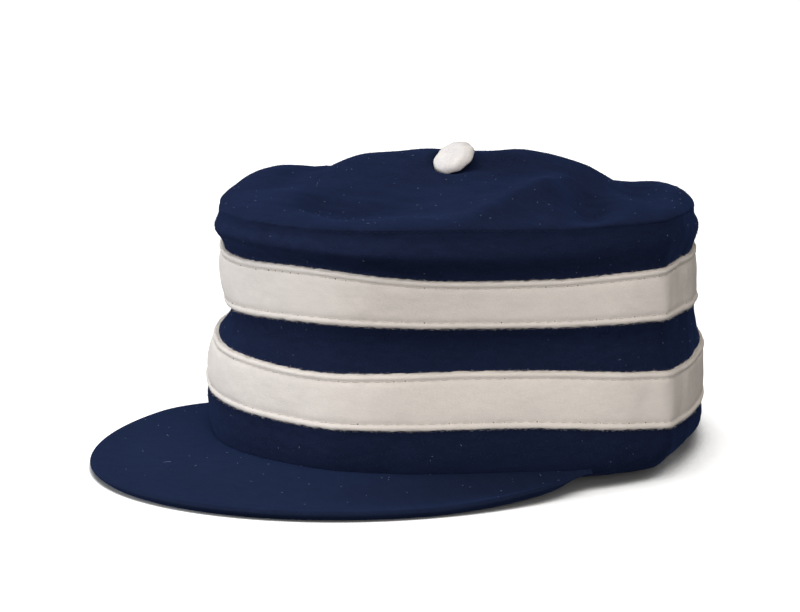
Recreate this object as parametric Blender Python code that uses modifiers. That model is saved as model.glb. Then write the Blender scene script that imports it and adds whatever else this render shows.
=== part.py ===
"""Pillbox cap: a soft wool crown with two sewn stripes, a covered button on top and a short visor.

Sizes are in millimetres and become metres when a mesh is made. The origin is on the resting
surface under the middle of the cap's length and width, -Y points to the front (the visor's way),
+X to the wearer's left and +Z up. The shapes below are described from the crown's own middle,
which stands at CROWN_AT. Angles go round the crown in degrees: 0 at the front, 90 at the
wearer's left, 180 at the back. The crown was stored folded flat, so it keeps soft corners,
flatter stretches between them, and a puffed, dented top.
"""

import math

import bmesh
import bpy
from mathutils import Matrix, Vector

MM = 0.001
COLLECTION = "pillbox_cap"

# Driving sizes
CROWN_AT = (-4.0, 26.1)  # the crown's middle, from the middle of the whole cap
WALL = 2.0  # wool flannel with its backing
GAP = 0.3  # left between neighbouring pieces
STRIPE_THICK = 1.2
VISOR_THICK = 3.2
VISOR_HALF_WIDTH = 87.5
VISOR_CENTRE = 39.0  # how far in front of the crown's middle the visor is widest
VISOR_REACH = 112.8  # from there to its front edge
VISOR_BULGE = (-14.0, 2.2, 16.0)  # angle, outwards, angle spread: fuller in front of the wearer's right
VISOR_TIPS = (-68.5, 64.0)  # angles at which it runs out along the crown
VISOR_ROUND = 13.0  # angle that its rounded tip takes
VISOR_TIP_WIDTH = 1.5
VISOR_ROUNDING = 1.1
VISOR_FLAT = 0.82  # share of its width, from the crown, that slopes down before it lies flat
VISOR_LIFT = 0.7  # share of that slope missing at the wearer's left, where its edge stays raised
VISOR_LIFT = 0.7  # share of that slope missing at the wearer's left, where its edge stays raised
BUTTON_RADIUS = 7.6
BUTTON_RISE = 4.4
BUTTON_AT = (0.0, -2.0)
BUTTON_TILT = 36.0  # its face leans to the front
BUTTON_LEAN = 8.0  # and to the wearer's right
BUTTON_LIFT = 1.7  # how far its back stands off the cloth under its middle
BUTTON_SEAT = 94.0  # height of the cloth under its middle
SEAT_SLOPE = (0.1, 0.6)  # how the cloth there climbs to the wearer's left and to the back
SEAT_RADIUS = 5.0
SEAT_BLEND = 11.0
CENTRE_HEIGHT = 90.0  # of the top panel, before its humps and dents
ROLL_POWER = 5  # how tightly the top panel rolls over at its rim

MERGE = 1e-3  # points this near are one
COLUMNS = 64  # steps round the crown
VISOR_COLUMNS = 32

# The crown from above, at the lower stripe.
OUTLINE = (
    # angle, radius
    (-161, 95.0),
    (-126, 86.0),
    (-91, 87.0),
    (-61, 84.5),
    (-36, 88.0),
    (-11, 97.5),
    (16, 103.0),
    (47, 93.5),
    (79, 95.0),
    (104, 85.8),
    (126, 85.0),
    (149, 90.0),
    (177, 99.0),
)

# Heights of the lines that run round the crown. The stripes lie between the first and last pairs.
HEM, LOWER_LOW, LOWER_TOP, UPPER_LOW, UPPER_TOP, SEAM = range(6)
HEIGHTS = (
    # angle, hem, lower stripe's edges, upper stripe's edges, seam
    (-136, 0.0, 16.5, 35.5, 47.5, 66.0, 75.5),
    (-91, 0.6, 18.0, 36.5, 48.5, 67.0, 77.5),
    (-46, 1.4, 19.5, 37.8, 49.0, 67.5, 78.2),
    (-16, 2.4, 20.2, 38.4, 51.0, 69.2, 80.8),
    (9, 4.0, 20.7, 38.6, 53.9, 71.9, 82.6),
    (31, 4.6, 22.0, 40.5, 54.2, 70.2, 84.3),
    (54, 4.2, 21.6, 40.2, 53.5, 69.6, 83.9),
    (74, 3.6, 18.8, 37.7, 53.4, 70.4, 84.3),
    (94, 2.6, 16.0, 35.0, 52.0, 69.8, 83.2),
    (129, 0.3, 15.5, 34.5, 49.0, 67.0, 78.5),
    (179, 0.0, 15.5, 34.5, 47.5, 65.5, 74.5),
)

# How far the wall stands out from the outline at each level, with fractions between the lines.
LEAN = (
    # level, outwards
    (0.0, -2.4),
    (0.25, -0.2),
    (0.6, 0.5),
    (1.0, 0.0),
    (1.5, 0.0),
    (2.0, -0.8),
    (2.3, -2.5),
    (2.7, -4.0),
    (3.0, -3.4),
    (3.5, -3.5),
    (4.0, -4.1),
    (4.25, -3.3),
    (4.5, -2.4),
    (4.75, -2.0),
    (5.0, -2.4),
)

# Folds of the wall: each one swells (or dents) it round a place.
FOLDS = (
    # angle, level, outwards, angle spread, level spread
    (26, 4.6, 4.8, 34, 0.30),  # the puffed front overhangs the upper stripe
    (-16, 4.7, 2.8, 22, 0.28),
    (60, 4.85, 1.0, 26, 0.50),  # and the side, up to its seam
    (34, 4.1, 2.4, 30, 0.55),  # the upper stripe leans out with it
    (124, 5.3, -2.8, 30, 0.40),
    (42, 2.6, -2.2, 36, 0.35),  # tuck under the upper stripe
    (-46, 2.9, -2.2, 26, 0.40),
    (-66, 2.3, -4.0, 38, 0.60),
    (112, 2.6, 2.0, 25, 0.50),
    (112, 0.6, 1.5, 25, 0.60),
    (40, 0.2, 3.4, 36, 1.10),  # the front flares to its hem
    (104, 0.0, -3.0, 26, 0.40),  # tuck of the hem at the wearer's left
    (83, 2.4, 1.5, 4, 3.00),  # storage crease there
    (13, 1.2, 1.0, 6, 1.20),  # soft crease beside the middle of the front
)

# Humps and dents of the top panel.
TOP_FOLDS = (
    # x, y, upwards, half length, half width, turn of its length from +X
    (-24, -2, 6.5, 30, 22, 37),  # crest at the button's right
    (-47, -12, 1.8, 11, 12, 0),  # and where it starts
    (-15, 3, 1.5, 10, 14, 37),
    (14, 20, 7.6, 24, 22, 37),  # crest at its left
    (10, -62, -6.2, 28, 22, 0),  # bowl in front of the button
    (49, -36, 6.8, 46, 9, 102),  # ridge from the front rim up past the button
    (57, -26, 2.4, 24, 7, 126),  # its broad back
    (71, -25, -8.6, 34, 8, 126),  # dent beside the ridge
    (76, -6, 2.2, 26, 8, 126),  # small rise beyond it
    (66, 14, -3.5, 36, 7, 130),  # crease before the hump at the wearer's left
    (-51, -14, -4.2, 22, 9, 104),  # crease at the wearer's right
    (-12, -58, -2.0, 40, 9, 137),  # furrow down to the front
    (-72, -20, 2.2, 20, 12, 105),  # hump outside the crease
    (-26, -62, 2.2, 20, 9, 118),  # fold inside it
    (38, 50, -5.5, 32, 12, 126),  # furrow before the back rim
)

# How far the top panel puffs above its seam.
PUFF = (
    # angle, upwards
    (-136, 5.0),
    (-113, 5.0),
    (-93, 6.4),
    (-68, 9.0),
    (-46, 5.6),
    (-11, 3.5),
    (29, 3.2),
    (69, 3.5),
    (104, 5.5),
    (129, 9.5),
    (149, 10.5),
    (166, 6.3),
    (180, 4.2),
)


def bell(distance):
    return math.exp(-distance * distance)


def cubic(before, start, end, after, at):
    """Smooth curve from start to end, two of four (place, value) knots."""
    span = end[0] - start[0]
    t = (at - start[0]) / span
    leave = (end[1] - before[1]) / (end[0] - before[0]) * span
    arrive = (after[1] - start[1]) / (after[0] - start[0]) * span
    return (
        (2 * t**3 - 3 * t**2 + 1) * start[1]
        + (t**3 - 2 * t**2 + t) * leave
        + (3 * t**2 - 2 * t**3) * end[1]
        + (t**3 - t**2) * arrive
    )


def around(rows, column, angle):
    """A table's column at an angle: one smooth closed curve through its rows."""
    count = len(rows)
    turned = (angle - rows[0][0]) % 360 + rows[0][0]
    last = max(i for i in range(count) if rows[i][0] <= turned)

    def knot(index):
        turns, row = divmod(index, count)
        return rows[row][0] + 360 * turns, rows[row][column]

    return cubic(knot(last - 1), knot(last), knot(last + 1), knot(last + 2), turned)


def along(rows, at):
    """The value at a place on an open curve through (place, value) rows."""
    last = max(i for i in range(len(rows) - 1) if rows[i][0] <= at or i == 0)
    before = rows[max(last - 1, 0)]
    after = rows[min(last + 2, len(rows) - 1)]
    return cubic(before, rows[last], rows[last + 1], after, at)


def apart(angle, other):
    """Difference between two angles, from -180 to 180."""
    return (angle - other + 180) % 360 - 180


def wall_radius(angle, level):
    radius = around(OUTLINE, 1, angle) + along(LEAN, level)
    for at, height, out, spread, rise in FOLDS:
        radius += out * bell(apart(angle, at) / spread) * bell((level - height) / rise)
    return radius


def wall_height(angle, level):
    below = min(int(level), SEAM - 1)
    low = around(HEIGHTS, 1 + below, angle)
    high = around(HEIGHTS, 2 + below, angle)
    return max(0.0, low + (high - low) * (level - below))


def place(angle, radius, height):
    turn = math.radians(angle)
    return radius * math.sin(turn), -radius * math.cos(turn), height


def wall_point(angle, level, out=0.0):
    return place(angle, wall_radius(angle, level) + out, wall_height(angle, level))


def smooth_step(value):
    value = min(max(value, 0.0), 1.0)
    return value * value * (3 - 2 * value)


def top_fold(x, y, row):
    at_x, at_y, up, length, width, turn = row
    turn = math.radians(turn)
    dx, dy = x - at_x, y - at_y
    along_it = dx * math.cos(turn) + dy * math.sin(turn)
    across_it = dy * math.cos(turn) - dx * math.sin(turn)
    return up * bell(along_it / length) * bell(across_it / width)


def top_point(angle, share):
    """The top panel's outer face, at a share of the way from its middle to its rim."""
    x, y, _ = place(angle, share * wall_radius(angle, SEAM), 0)
    rim = wall_height(angle, SEAM) + GAP + WALL
    folded = sum(top_fold(x, y, row) for row in TOP_FOLDS) * (1 - share**4)
    rolled = around(PUFF, 1, angle) * math.sqrt(1 - min(share, 1) ** ROLL_POWER)
    mixed = smooth_step(share)
    height = CENTRE_HEIGHT + (rim + rolled - CENTRE_HEIGHT) * mixed + folded
    right, back = x - BUTTON_AT[0], y - BUTTON_AT[1]
    seat = BUTTON_SEAT + right * SEAT_SLOPE[0] + back * SEAT_SLOPE[1]
    away = math.hypot(right, back)
    seated = 1 - smooth_step((away - SEAT_RADIUS) / (SEAT_BLEND - SEAT_RADIUS))
    return x, y, height + (seat - height) * seated


def visor_radius(angle):
    """Distance to the visor's outer edge: an ellipse, with a rounded tip at each end."""
    sine, cosine = math.sin(math.radians(angle)), math.cos(math.radians(angle))
    a = (sine / VISOR_HALF_WIDTH) ** 2 + (cosine / VISOR_REACH) ** 2
    b = -2 * VISOR_CENTRE * cosine / VISOR_REACH**2
    c = (VISOR_CENTRE / VISOR_REACH) ** 2 - 1
    at, out, spread = VISOR_BULGE
    edge = (-b + math.sqrt(b * b - 4 * a * c)) / (2 * a) + out * bell((angle - at) / spread)
    inner = visor_inner(angle)
    tip = VISOR_TIPS[1] if angle > 0 else -VISOR_TIPS[0]
    end = max(0.0, abs(angle) - tip + VISOR_ROUND) / VISOR_ROUND
    width = (edge - inner) * math.sqrt(max(0.0, 1 - end * end))
    return inner + max(width, VISOR_TIP_WIDTH)


def visor_inner(angle):
    return wall_radius(angle, 0.2) + 0.6


def visor_point(angle, share):
    """The visor's top face, at a share of the way from the crown to its outer edge."""
    inner = visor_inner(angle)
    radius = inner + (visor_radius(angle) - inner) * share
    raised = wall_height(angle, HEM)
    lying = 1 - VISOR_LIFT * smooth_step((angle - 32) / 30)
    fall = smooth_step(share / VISOR_FLAT) * lying
    return place(angle, radius, VISOR_THICK + raised * (1 - fall))


def shell(name, columns, rows, front, back):
    """A closed body of cloth between two faces, each a function of a column and a row."""
    bm = bmesh.new()
    column_of = bm.verts.layers.float.new("column")
    row_of = bm.verts.layers.float.new("row")
    across, up = len(columns) - 1, len(rows) - 1
    bmesh.ops.create_grid(bm, x_segments=across, y_segments=up, size=0.5)
    for vert in bm.verts:
        vert[column_of] = columns[round((vert.co.x + 0.5) * across)]
        vert[row_of] = rows[round((vert.co.y + 0.5) * up)]
        vert.co = front(vert[column_of], vert[row_of])
    bmesh.ops.remove_doubles(bm, verts=bm.verts[:], dist=MERGE)
    made = bmesh.ops.extrude_face_region(bm, geom=bm.faces[:])
    for item in made["geom"]:
        if isinstance(item, bmesh.types.BMVert):
            item.co = back(item[column_of], item[row_of])
    bmesh.ops.recalc_face_normals(bm, faces=bm.faces[:])
    bmesh.ops.scale(bm, vec=(MM, MM, MM), verts=bm.verts[:])
    mesh = bpy.data.meshes.new(name)
    bm.to_mesh(mesh)
    bm.free()
    return mesh


def material(name, colour, roughness):
    made = bpy.data.materials.new(name)
    made.use_nodes = True
    shader = made.node_tree.nodes["Principled BSDF"]
    shader.inputs["Base Color"].default_value = (*colour, 1.0)
    shader.inputs["Roughness"].default_value = roughness
    shader.inputs["Metallic"].default_value = 0.0
    return made


def add(name, mesh, look, collection, parent):
    node = bpy.data.objects.new(name, mesh)
    mesh.materials.clear()
    mesh.materials.append(look)
    mesh.shade_smooth()
    mesh.set_sharp_from_angle(angle=math.radians(50))
    collection.objects.link(node)
    node.parent = parent
    return node


def steps(start, end, count):
    return [start + (end - start) * i / count for i in range(count + 1)]


def crown_wall():
    """The side of the crown, from its hem to the seam with the top."""
    levels = (0.0, 0.2, 0.5, 1.0, 1.5, 2.0, 2.35, 2.7, 3.0, 3.5, 4.0, 4.3, 4.65, 5.0)
    return shell(
        "crown_wall",
        steps(0, 360, COLUMNS),
        levels,
        wall_point,
        lambda angle, level: wall_point(angle, level, -WALL),
    )


def crown_top():
    """The round panel that closes the crown. Its rim lies on the wall's upper edge."""
    shares = (0.0, 0.1, 0.2, 0.32, 0.45, 0.58, 0.7, 0.8, 0.88, 0.94, 0.98, 1.0)

    def under(angle, share):
        x, y, z = top_point(angle, share)
        return x, y, z - WALL

    return shell("crown_top", steps(0, 360, COLUMNS), shares, top_point, under)


def stripe(name, low, top):
    """A flannel band sewn round the wall between two of its lines."""
    return shell(
        name,
        steps(0, 360, COLUMNS),
        steps(low, top, 2),
        lambda angle, level: wall_point(angle, level, GAP + STRIPE_THICK),
        lambda angle, level: wall_point(angle, level, GAP),
    )


def visor():
    """The short stiff peak, sewn to the hem in front and lying on its front edge."""

    def under(angle, share):
        x, y, z = visor_point(angle, share)
        return x, y, z - VISOR_THICK

    shares = (0.0, 0.25, 0.5, 0.7, VISOR_FLAT, 1.0)
    angles = steps(*VISOR_TIPS, VISOR_COLUMNS)
    return shell("visor", angles, shares, visor_point, under)


def button():
    """A cloth-covered button: a low dome over a flat back."""
    bm = bmesh.new()
    bmesh.ops.create_uvsphere(bm, u_segments=24, v_segments=12, radius=1.0)
    back = BUTTON_RISE * 0.3
    for vert in bm.verts:
        height = BUTTON_RISE - back if vert.co.z > 0 else back
        vert.co = (vert.co.x * BUTTON_RADIUS, vert.co.y * BUTTON_RADIUS, vert.co.z * height + back)
    bmesh.ops.scale(bm, vec=(MM, MM, MM), verts=bm.verts[:])
    mesh = bpy.data.meshes.new("top_button")
    bm.to_mesh(mesh)
    bm.free()
    return mesh


def clear_scene():
    for item in list(bpy.data.objects):
        bpy.data.objects.remove(item, do_unlink=True)


def main():
    clear_scene()
    collection = bpy.data.collections.new(COLLECTION)
    bpy.context.scene.collection.children.link(collection)
    root = bpy.data.objects.new("cap", None)
    root.location = (CROWN_AT[0] * MM, CROWN_AT[1] * MM, 0)
    collection.objects.link(root)

    navy = material("navy_wool_flannel", (0.012, 0.022, 0.075), 0.9)
    cream = material("cream_wool_flannel", (0.72, 0.66, 0.60), 0.9)
    visor_navy = material("navy_visor_cloth", (0.013, 0.023, 0.073), 0.9)
    button_cream = material("cream_button_cloth", (0.76, 0.72, 0.68), 0.85)

    add("crown_wall", crown_wall(), navy, collection, root)
    add("crown_top", crown_top(), navy, collection, root)
    add("stripe_upper", stripe("stripe_upper", UPPER_LOW, UPPER_TOP), cream, collection, root)
    add("stripe_lower", stripe("stripe_lower", LOWER_LOW, LOWER_TOP), cream, collection, root)
    peak = add("visor", visor(), visor_navy, collection, root)
    rounding = peak.modifiers.new("rounded_edge", "BEVEL")
    rounding.width = VISOR_ROUNDING * MM
    rounding.segments = 2
    rounding.limit_method = "ANGLE"
    rounding.angle_limit = math.radians(50)
    top = add("top_button", button(), button_cream, collection, root)
    lean = Matrix.Rotation(math.radians(-BUTTON_LEAN), 3, "Y")
    turned = lean @ Matrix.Rotation(math.radians(BUTTON_TILT), 3, "X")
    top.rotation_euler = turned.to_euler()
    top.location = MM * (Vector((*BUTTON_AT, BUTTON_SEAT)) + turned @ Vector((0, 0, BUTTON_LIFT)))


if __name__ == "__main__":
    main()
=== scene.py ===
"""Looks of a soft wool pillbox cap: navy flannel crown, cream stripes, covered button, short visor.

Sizes are in millimetres unless a property gives metres. Shapes are described from the crown's
own middle, which stands at CROWN_AT in the frame. -Y is the front, +X the wearer's left, +Z up.
Angles go round the crown in degrees: 0 at the front, 90 at the wearer's left, 180 at the back.
"""

import math

import bmesh
import bpy
import numpy as np
from bpy.props import FloatProperty, FloatVectorProperty, PointerProperty
from mathutils import Matrix, Vector


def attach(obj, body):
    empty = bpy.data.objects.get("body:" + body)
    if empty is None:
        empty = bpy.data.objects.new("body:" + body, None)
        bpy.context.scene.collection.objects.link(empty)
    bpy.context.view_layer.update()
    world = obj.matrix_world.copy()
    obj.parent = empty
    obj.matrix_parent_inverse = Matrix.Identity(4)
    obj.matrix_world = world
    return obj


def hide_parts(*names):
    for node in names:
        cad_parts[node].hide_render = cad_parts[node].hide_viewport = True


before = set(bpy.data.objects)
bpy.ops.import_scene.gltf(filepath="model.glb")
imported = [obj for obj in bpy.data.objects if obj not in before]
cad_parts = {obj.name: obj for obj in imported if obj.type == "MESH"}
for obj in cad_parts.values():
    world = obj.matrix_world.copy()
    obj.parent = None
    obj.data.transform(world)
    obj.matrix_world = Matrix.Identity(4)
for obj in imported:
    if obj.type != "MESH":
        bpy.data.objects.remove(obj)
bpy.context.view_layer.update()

bl_info = {
    "name": "Pillbox Cap",
    "version": (1, 0, 0),
    "blender": (4, 5, 0),
    "location": "View3D > Sidebar > Cap",
    "description": "Builds a soft wool pillbox cap with sewn stripes and a short visor",
    "category": "Add Mesh",
}

MM = 0.001
CROWN_AT = (-4.0, 26.1)  # the crown's own middle, in the frame
SEED = 1907

# The visor's outer edge is an ellipse in front of the crown's middle.
VISOR_HALF_WIDTH = 87.5
VISOR_CENTRE = 39.0  # how far its middle stands in front
VISOR_REACH = 112.8
VISOR_BULGE = (-14.0, 2.2, 16.0)  # angle, outwards, angle spread
VISOR_TIPS = (-68.5, 64.0)  # angles of its two ends
VISOR_ROUND = 13.0  # over how many degrees each end rounds off
VISOR_TIP_WIDTH = 1.5
VISOR_FLAT = 0.82  # share of the way out at which it lies level
VISOR_LIFT = 0.7  # how much of the hem's rise its end at the wearer's left keeps
VISOR_LIFT_FROM, VISOR_LIFT_OVER = 32.0, 30.0  # degrees
VISOR_UNDERCUT = 1.6  # its edge is turned under, so its lower rim stands back
VISOR_UPPER_ROWS = 40

BUTTON_AT = (0.0, -2.0)
BUTTON_TILT = 36.0  # its face leans to the front
BUTTON_LEAN = 8.0  # and to the wearer's right
BUTTON_LIFT = 1.7  # how far its back stands off the cloth under its middle
BUTTON_SEAT = 94.0  # height of the cloth under its middle
SEAT_SLOPE = (0.1, 0.6)  # how the cloth there climbs to the wearer's left and to the back
SEAT_RADIUS = 5.0
SEAT_BLEND = 11.0

CENTRE_HEIGHT = 90.0  # of the top panel's middle, before its folds
ROLL_POWER = 5  # how squarely the top panel rolls over to its rim
RIM_RISE = 2.3  # the rim's widest line, above the seam's line
SEAM_LIP = 0.5  # how far above and below the sewn line its two lips stand
SEAM_DEPTHS = (0.015, 0.4)  # in front and elsewhere
SEAM_DEEPENS = (50.0, 50.0)  # from this angle on, over this many degrees
SEAM_SHOWS = (34.0, 26.0)  # its stitches show most at this angle, and over this spread
SEAM_STITCH = 2.9  # spacing of its stitches
SEWN_AT = RIM_RISE - SEAM_LIP

BACK = 180.0  # the angle of the seams up the back
# Degrees beside them at which the mesh is cut finer.
FINE_TURNS = (-2.4, -1.6, -1.1, -0.75, -0.45, -0.22, 0, 0.22, 0.45, 0.75, 1.1, 1.6, 2.4)
HEM_TURN_LEVELS = (0.75, 0.72, 0.5, 0.3, 0.12)  # inside the turned-up hem, from its edge down
STRIPE_TUCK = 0.4  # how far a stripe's back edge lies inside the wall's face
STRIPE_JOINT = 0.7  # depth of the seam where a stripe's ends meet at the back
CROWN_RADIUS = 95.0  # roughly, to turn a stitch's length into degrees
STITCH_SPAN = (0.08, 0.84)  # share of the spacing at which a stitch starts, and its own share
STITCH_DIP = 0.55  # how far its ends go down into their holes
STITCH_STAND = 0.12  # how far its middle stands off the furrow
HOLE_STAND = 0.72  # how far out on a stripe the painted shade at a needle hole lies

# The crown from above, at the lower stripe.
OUTLINE = (
    # angle, radius
    (-161, 95.0),
    (-126, 86.0),
    (-91, 87.0),
    (-61, 84.5),
    (-36, 88.0),
    (-11, 97.5),
    (16, 103.0),
    (47, 93.5),
    (79, 95.0),
    (104, 85.8),
    (126, 85.0),
    (149, 90.0),
    (177, 99.0),
)

# Heights of the lines that run round the crown. The stripes lie between the first and last pairs.
HEM, LOWER_LOW, LOWER_TOP, UPPER_LOW, UPPER_TOP, SEAM = range(6)
HEIGHTS = (
    # angle, hem, lower stripe's edges, upper stripe's edges, seam
    (-136, 0.0, 16.5, 35.5, 47.5, 66.0, 75.5),
    (-91, 0.6, 18.0, 36.5, 48.5, 67.0, 77.5),
    (-46, 1.4, 19.5, 37.8, 49.0, 67.5, 78.2),
    (-16, 2.4, 20.2, 38.4, 51.0, 69.2, 80.8),
    (9, 4.0, 20.7, 38.6, 53.9, 71.9, 82.6),
    (31, 4.6, 22.0, 40.5, 54.2, 70.2, 84.3),
    (54, 4.2, 21.6, 40.2, 53.5, 69.6, 83.9),
    (74, 3.6, 18.8, 37.7, 53.4, 70.4, 84.3),
    (94, 2.6, 16.0, 35.0, 52.0, 69.8, 83.2),
    (129, 0.3, 15.5, 34.5, 49.0, 67.0, 78.5),
    (179, 0.0, 15.5, 34.5, 47.5, 65.5, 74.5),
)

# How far the wall stands out from the outline at each level, with fractions between the lines.
LEAN = (
    # level, outwards
    (0.0, -2.4),
    (0.25, -0.2),
    (0.6, 0.5),
    (1.0, 0.0),
    (1.5, 0.0),
    (2.0, -0.8),
    (2.3, -2.5),
    (2.7, -4.0),
    (3.0, -3.4),
    (3.5, -3.5),
    (4.0, -4.1),
    (4.25, -3.3),
    (4.5, -2.4),
    (4.75, -2.0),
    (5.0, -2.4),
)

# Folds of the wall: each one swells (or dents) it round a place.
FOLDS = (
    # angle, level, outwards, angle spread, level spread
    (26, 4.6, 4.8, 34, 0.30),  # the puffed front overhangs the upper stripe
    (-16, 4.7, 2.8, 22, 0.28),
    (60, 4.85, 1.0, 26, 0.50),  # and the side, up to its seam
    (34, 4.1, 2.4, 30, 0.55),  # the upper stripe leans out with it
    (124, 5.3, -2.8, 30, 0.40),
    (42, 2.6, -2.2, 36, 0.35),  # tuck under the upper stripe
    (-46, 2.9, -2.2, 26, 0.40),
    (-66, 2.3, -4.0, 38, 0.60),
    (112, 2.6, 2.0, 25, 0.50),
    (112, 0.6, 1.5, 25, 0.60),
    (40, 0.2, 3.4, 36, 1.10),  # the front flares to its hem
    (104, 0.0, -3.0, 26, 0.40),  # tuck of the hem at the wearer's left
    (83, 2.4, 1.5, 4, 3.00),  # storage crease there
    (13, 1.2, 1.0, 6, 1.20),  # soft crease beside the middle of the front
)

# Humps and dents of the top panel.
TOP_FOLDS = (
    # x, y, upwards, half length, half width, turn of its length from +X
    (-24, -2, 6.5, 30, 22, 37),  # crest at the button's right
    (-47, -12, 1.8, 11, 12, 0),  # and where it starts
    (-15, 3, 1.5, 10, 14, 37),
    (14, 20, 7.6, 24, 22, 37),  # crest at its left
    (10, -62, -6.2, 28, 22, 0),  # bowl in front of the button
    (49, -36, 6.8, 46, 9, 102),  # ridge from the front rim up past the button
    (57, -26, 2.4, 24, 7, 126),  # its broad back
    (71, -25, -8.6, 34, 8, 126),  # dent beside the ridge
    (76, -6, 2.2, 26, 8, 126),  # small rise beyond it
    (66, 14, -3.5, 36, 7, 130),  # crease before the hump at the wearer's left
    (-51, -14, -4.2, 22, 9, 104),  # crease at the wearer's right
    (-12, -58, -2.0, 40, 9, 137),  # furrow down to the front
    (-72, -20, 2.2, 20, 12, 105),  # hump outside the crease
    (-26, -62, 2.2, 20, 9, 118),  # fold inside it
    (38, 50, -5.5, 32, 12, 126),  # furrow before the back rim
)

# How far the top panel puffs above its seam.
PUFF = (
    # angle, upwards
    (-136, 5.0),
    (-113, 5.0),
    (-93, 6.4),
    (-68, 9.0),
    (-46, 5.6),
    (-11, 3.5),
    (29, 3.2),
    (69, 3.5),
    (104, 5.5),
    (129, 9.5),
    (149, 10.5),
    (166, 6.3),
    (180, 4.2),
)

# A stripe's thickness at a distance from its nearer edge: a turned edge, then the sewn furrow.
STRIPE_SECTION = (
    # distance, thickness
    (0.0, 0.0),
    (0.12, 0.62),
    (0.4, 1.15),
    (0.9, 1.42),
    (1.4, 1.40),
    (1.9, 1.08),
    (2.3, 0.82),
    (2.7, 0.94),
    (3.6, 1.17),
    (5.0, 1.25),
    (9.5, 1.3),
)
STRIPE_MIDDLE = 1.25  # the thickness that the section above is drawn for
FURROW = 2.3  # distance from a stripe's edge to its row of stitches
FURROW_THICK = 0.82  # and the stripe's thickness there
# Distances of a stripe's mesh rows from its nearer edge, closest where it curves most.
STRIPE_ROWS = (0, 0.05, 0.12, 0.25, 0.4, 0.65, 0.9, 1.15, 1.4, 1.65, 1.9, 2.1, 2.3, 2.5, 2.7)
STRIPE_ROWS += (3.1, 3.6, 4.4, 5.4, 6.6, 7.7)


def linear(hexed):
    """An sRGB hex colour as linear red, green and blue."""
    parts = [int(hexed[i : i + 2], 16) / 255 for i in (0, 2, 4)]
    return [p / 12.92 if p <= 0.04045 else ((p + 0.055) / 1.055) ** 2.4 for p in parts]


# ---------------------------------------------------------------- shape of the crown


def bell(distance):
    return np.exp(-(distance**2))


def smooth_step(value):
    value = np.clip(value, 0.0, 1.0)
    return value * value * (3 - 2 * value)


def along(rows, column, at):
    """Smooth curve through a table's rows, read at an array of places."""
    places = np.array([row[0] for row in rows], float)
    values = np.array([row[column] for row in rows], float)
    slopes = np.gradient(values)
    slopes[1:-1] = (values[2:] - values[:-2]) / (places[2:] - places[:-2])
    slopes[0] = (values[1] - values[0]) / (places[1] - places[0])
    slopes[-1] = (values[-1] - values[-2]) / (places[-1] - places[-2])
    at = np.asarray(at, float)
    last = np.clip(np.searchsorted(places, at, side="right") - 1, 0, len(rows) - 2)
    span = places[last + 1] - places[last]
    t = (at - places[last]) / span
    return (
        (2 * t**3 - 3 * t**2 + 1) * values[last]
        + (t**3 - 2 * t**2 + t) * slopes[last] * span
        + (3 * t**2 - 2 * t**3) * values[last + 1]
        + (t**3 - t**2) * slopes[last + 1] * span
    )


def around(rows, column, angle):
    """The same on a closed round, whose rows start with an angle."""
    before = [(row[0] - 360, row[column]) for row in rows[-2:]]
    after = [(row[0] + 360, row[column]) for row in rows[:2]]
    middle = [(row[0], row[column]) for row in rows]
    turned = (np.asarray(angle, float) - rows[0][0]) % 360 + rows[0][0]
    return along(before + middle + after, 1, turned)


def apart(angle, other):
    return (angle - other + 180) % 360 - 180


def wall_radius(angle, level):
    radius = around(OUTLINE, 1, angle) + along(LEAN, 1, level)
    for at, height, out, spread, rise in FOLDS:
        radius = radius + out * bell(apart(angle, at) / spread) * bell((level - height) / rise)
    return radius


def line_height(angle, line):
    return np.maximum(around(HEIGHTS, 1 + line, angle), 0.0)


def wall_height(angle, level):
    angle, level = np.broadcast_arrays(angle, np.asarray(level, float))
    lines = np.array([around(HEIGHTS, 1 + line, angle) for line in range(SEAM + 1)])
    below = np.clip(level.astype(int), 0, SEAM - 1)
    low = np.take_along_axis(lines, below[None], 0)[0]
    high = np.take_along_axis(lines, below[None] + 1, 0)[0]
    return np.maximum(low + (high - low) * (level - below), 0.0)


def place(angle, radius, height):
    turn = np.radians(angle)
    return np.stack(np.broadcast_arrays(radius * np.sin(turn), -radius * np.cos(turn), height), -1)


def outward(angle):
    """The level way straight out of the crown at an angle."""
    turn = np.radians(angle)
    return np.stack((np.sin(turn), -np.cos(turn), 0 * turn), -1)


def lumps(points, size, seed):
    """Soft unevenness from -1 to 1 or so, of bumps about this size."""
    rng = np.random.default_rng(seed)
    total = np.zeros(points.shape[:-1])
    waves = 14
    for _ in range(waves):
        way = rng.normal(size=3)
        way *= 2 * math.pi / (size * rng.uniform(1.3, 2.8)) / np.linalg.norm(way)
        total += np.sin(points @ way + rng.uniform(0, 2 * math.pi))
    return total / math.sqrt(waves / 2)


def wall_unevenness(point, angle):
    """How far the wall's cloth stands out from its smooth shape at a point."""
    uneven = 0.22 * lumps(point, 16, 3) + 0.07 * lumps(point, 5, 4)
    return outward(angle) * uneven[..., None]


def wall_point(angle, level, out=0.0, up=0.0):
    """A point of the wall's outer face, with the cloth's own unevenness."""
    point = place(angle, wall_radius(angle, level) + out, wall_height(angle, level) + up)
    return point + wall_unevenness(point, angle)


def top_fold(x, y, row):
    at_x, at_y, up, length, width, turn = row
    turn = math.radians(turn)
    dx, dy = x - at_x, y - at_y
    along_it = dx * math.cos(turn) + dy * math.sin(turn)
    across_it = dy * math.cos(turn) - dx * math.sin(turn)
    return up * bell(along_it / length) * bell(across_it / width)


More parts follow.
